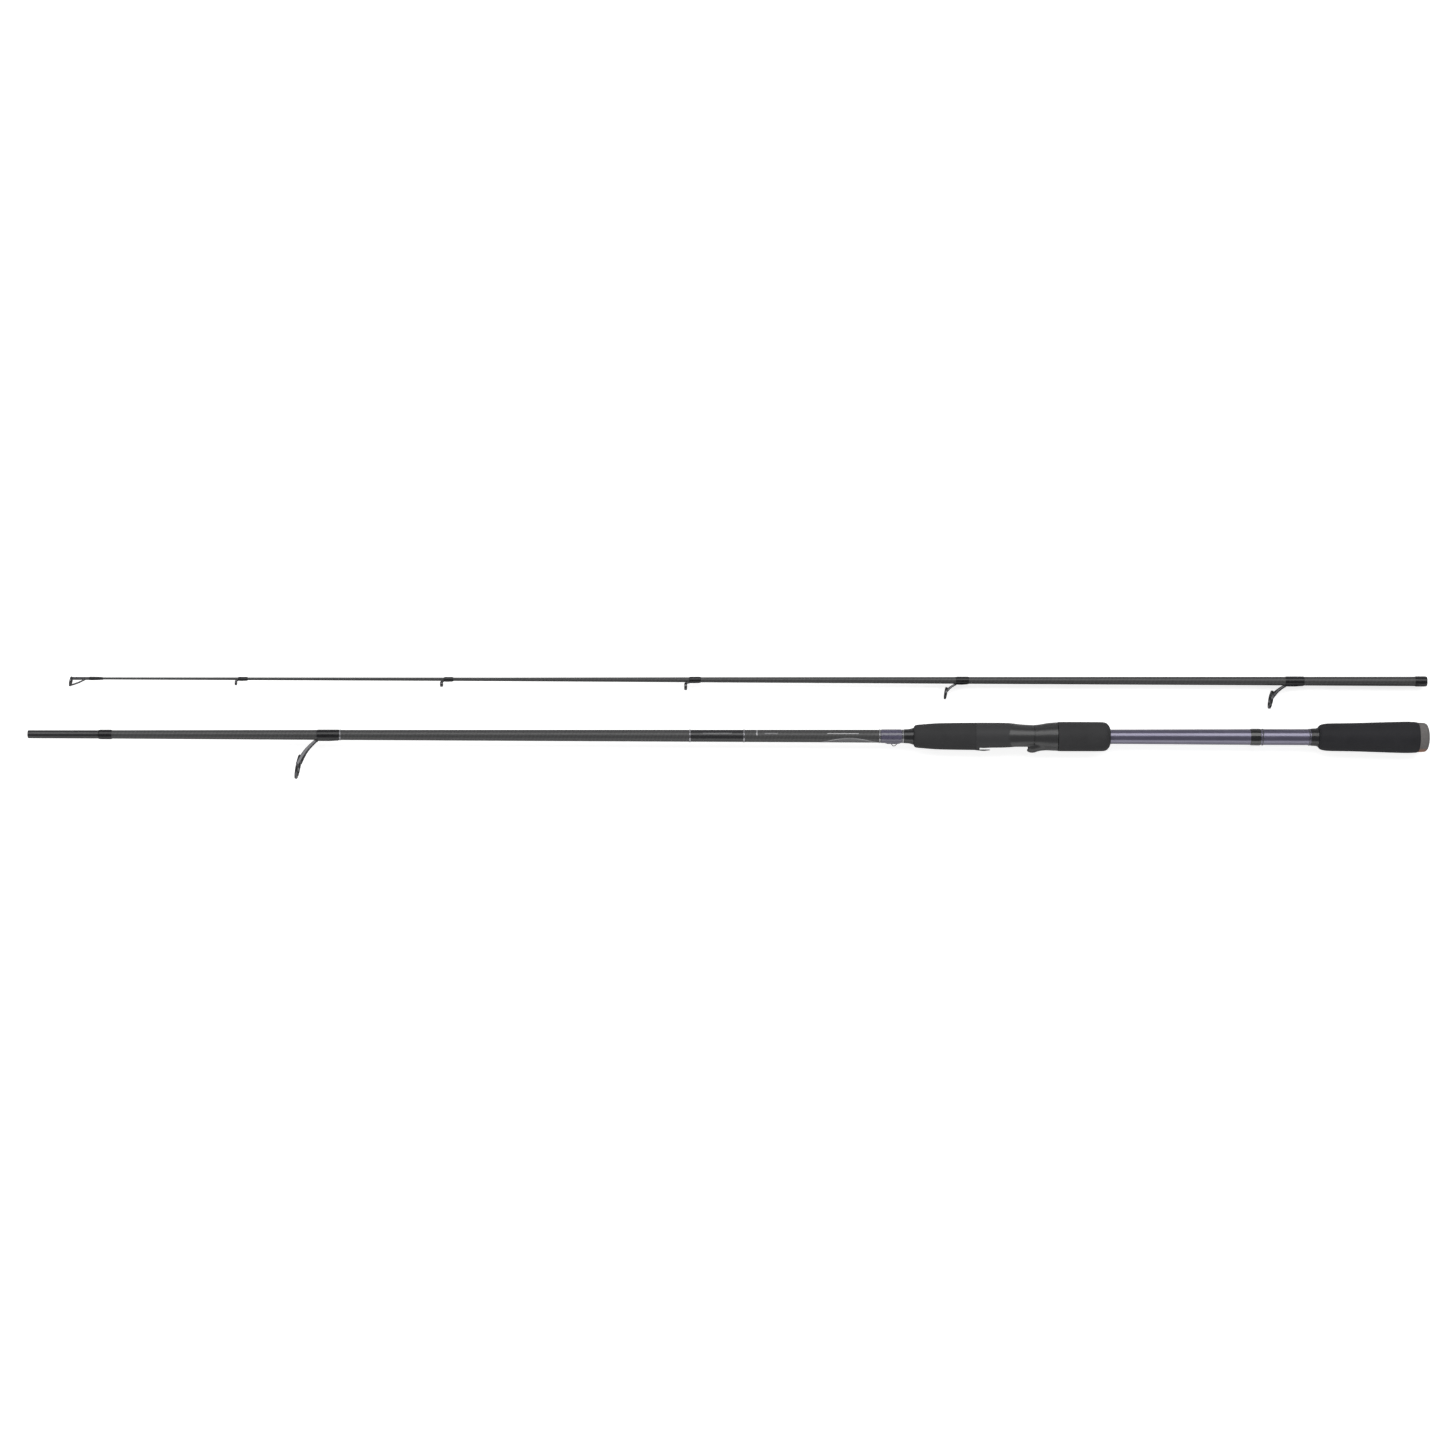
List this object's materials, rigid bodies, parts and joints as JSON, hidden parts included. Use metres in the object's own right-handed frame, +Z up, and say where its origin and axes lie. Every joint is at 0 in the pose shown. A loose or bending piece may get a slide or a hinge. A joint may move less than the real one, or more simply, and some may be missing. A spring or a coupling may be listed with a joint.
{
  "type": "spinning rod",
  "caption": "Two-piece spinning rod taken apart: a butt section with split foam grips and a screw-lock reel seat, and a slim tip section with ring guides, side by side.",
  "frame": {"origin": "middle of the base of the bounding box; the rod lies on a flat surface", "axes": "+X runs along both sections from the tips to the butt cap, the line guides point to -Y, +Z is up"},
  "size_m": [1.249, 0.094, 0.028],
  "materials": {
    "carbon": "clear-coated carbon tube, dark grey, with a metallic purple stretch between the grips",
    "thread": "black thread under glossy epoxy",
    "purple_thread": "metallic purple thread under glossy epoxy",
    "silver_band": "bright silver",
    "guide_metal": "dark polished steel",
    "ceramic": "polished dark grey ceramic",
    "foam": "closed-cell foam, matte black with fine pores",
    "seat": "graphite-filled plastic, satin",
    "hood": "glossy dark grey",
    "cap": "satin warm grey",
    "bushing": "raw foam-filled plastic"
  },
  "bodies": {
    "butt_section": {"butt_blank": "carbon", "ferrule_stop_wrap": "thread", "rear_wrap": "thread", "fore_check": "thread", "rear_check": "thread", "stripper_wrap": "thread", "keeper_wrap": "purple_thread", "trim_ring_1": "silver_band", "trim_ring_2": "silver_band", "trim_ring_3": "silver_band", "trim_ring_4": "silver_band", "trim_ring_5": "silver_band", "trim_ring_6": "silver_band", "trim_ring_7": "silver_band", "hook_keeper": "guide_metal", "stripper_frame": "guide_metal", "stripper_ring": "ceramic", "fore_grip": "foam", "rear_grip": "foam", "seat_body": "seat", "butt_cap": "cap", "seat_arbor_front": "bushing", "seat_arbor_rear": "bushing"},
    "tip_section": {"ferrule_socket": "carbon", "tip_blank": "carbon", "socket_wrap": "thread", "tiptop_frame": "guide_metal", "tiptop_ring": "ceramic", "tiptop_wrap": "thread", "guide_1_frame": "guide_metal", "guide_1_ring": "ceramic", "guide_1_wrap": "thread", "guide_2_frame": "guide_metal", "guide_2_ring": "ceramic", "guide_2_wrap": "thread", "guide_3_frame": "guide_metal", "guide_3_ring": "ceramic", "guide_3_wrap": "thread", "guide_4_frame": "guide_metal", "guide_4_ring": "ceramic", "guide_4_wrap": "thread", "guide_5_frame": "guide_metal", "guide_5_ring": "ceramic", "guide_5_wrap": "thread"},
    "hood": {"moving_hood": "hood"},
    "nut": {"nut_core": "hood", "nut_grip": "foam"}
  },
  "joints": [
    {"name": "tip_slide", "type": "slide", "parent": "butt_section", "child": "tip_section", "axis": [-1, 0, 0], "range_m": [0, 1.186]},
    {"name": "hood_slide", "type": "slide", "parent": "butt_section", "child": "hood", "axis": [1, 0, 0], "range_m": [0, 0.0201]},
    {"name": "nut_turn", "type": "hinge", "parent": "hood", "child": "nut", "pos_m": [0.3175, -0.00766, 0.014], "axis": [1, 0, 0], "range_deg": [0, 1800]}
  ],
  "couplings": [
    {"joint": "hood_slide", "follows": "nut_turn", "m_per_rad": 0.00063662}
  ]
}
